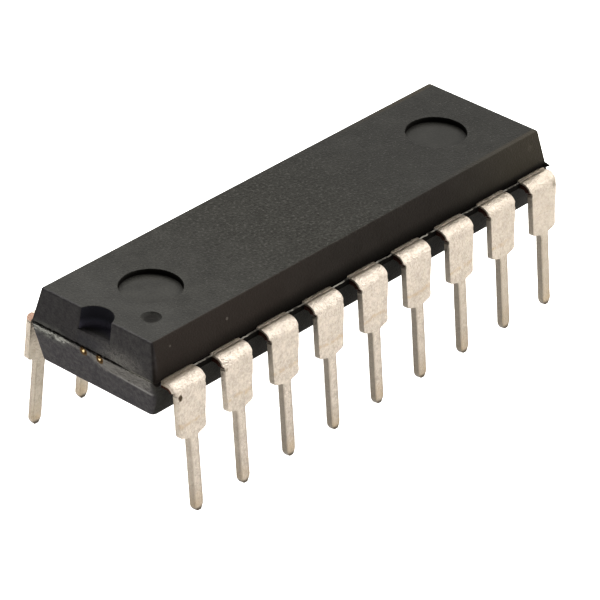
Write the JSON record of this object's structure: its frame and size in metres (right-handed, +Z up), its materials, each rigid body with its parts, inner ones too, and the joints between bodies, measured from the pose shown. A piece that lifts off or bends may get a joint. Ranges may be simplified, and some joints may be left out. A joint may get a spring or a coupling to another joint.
{
  "type": "dual in-line integrated circuit package",
  "caption": "Black moulded dual in-line integrated circuit with two rows of bent, tin-plated leads, an end notch and a first-lead dimple.",
  "frame": {"origin": "middle of the lead grid on the seating plane, where the leads' shoulders meet the board", "axes": "+X from the notched end to the plain end, +Y across the rows towards leads 10 to 18, +Z up through the top face"},
  "size_m": [0.0226, 0.009, 0.007],
  "materials": {
    "mould_compound": "fine matt moulding, filled black epoxy",
    "tinned_lead": "matt tin plating over copper alloy, copper bare at trimmed edges",
    "frame_copper": "bare copper alloy strip",
    "attach_adhesive": "cured silver-filled adhesive",
    "silicon": "polished",
    "bond_gold": "drawn gold wire"
  },
  "bodies": {
    "root": {"body": "mould_compound", "lead_01": "tinned_lead", "lead_02": "tinned_lead", "lead_03": "tinned_lead", "lead_04": "tinned_lead", "lead_05": "tinned_lead", "lead_06": "tinned_lead", "lead_07": "tinned_lead", "lead_08": "tinned_lead", "lead_09": "tinned_lead", "lead_10": "tinned_lead", "lead_11": "tinned_lead", "lead_12": "tinned_lead", "lead_13": "tinned_lead", "lead_14": "tinned_lead", "lead_15": "tinned_lead", "lead_16": "tinned_lead", "lead_17": "tinned_lead", "lead_18": "tinned_lead", "die_paddle": "frame_copper", "die_attach": "attach_adhesive", "silicon_die": "silicon", "bond_wire_01": "bond_gold", "bond_wire_02": "bond_gold", "bond_wire_03": "bond_gold", "bond_wire_04": "bond_gold", "bond_wire_05": "bond_gold", "bond_wire_06": "bond_gold", "bond_wire_07": "bond_gold", "bond_wire_08": "bond_gold", "bond_wire_09": "bond_gold", "bond_wire_10": "bond_gold", "bond_wire_11": "bond_gold", "bond_wire_12": "bond_gold", "bond_wire_13": "bond_gold", "bond_wire_14": "bond_gold", "bond_wire_15": "bond_gold", "bond_wire_16": "bond_gold", "bond_wire_17": "bond_gold", "bond_wire_18": "bond_gold"}
  },
  "joints": []
}
